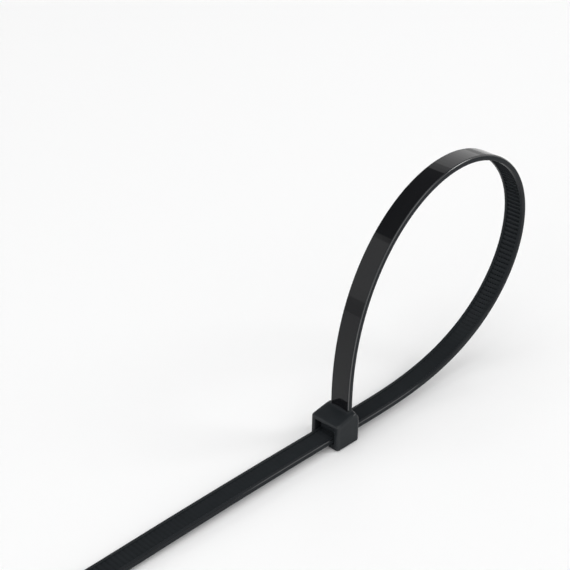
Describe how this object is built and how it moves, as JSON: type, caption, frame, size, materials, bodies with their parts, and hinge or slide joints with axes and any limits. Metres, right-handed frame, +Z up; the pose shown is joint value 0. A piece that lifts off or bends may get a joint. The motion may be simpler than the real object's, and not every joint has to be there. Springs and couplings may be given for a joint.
{
  "type": "cable tie",
  "caption": "Black nylon cable tie drawn up in an upright loop: toothed strap, block head with a pawl in its slot, and a long free tail.",
  "frame": {"origin": "middle of the head's foot, on the surface that the tie stands on", "axes": "+X from the tail's tip through the head towards the loop, +Y across the strap, +Z up"},
  "size_m": [0.1864, 0.0076, 0.0511],
  "materials": {
    "black_nylon": "satin"
  },
  "bodies": {
    "root": {"cable_tie": "black_nylon"}
  },
  "joints": []
}
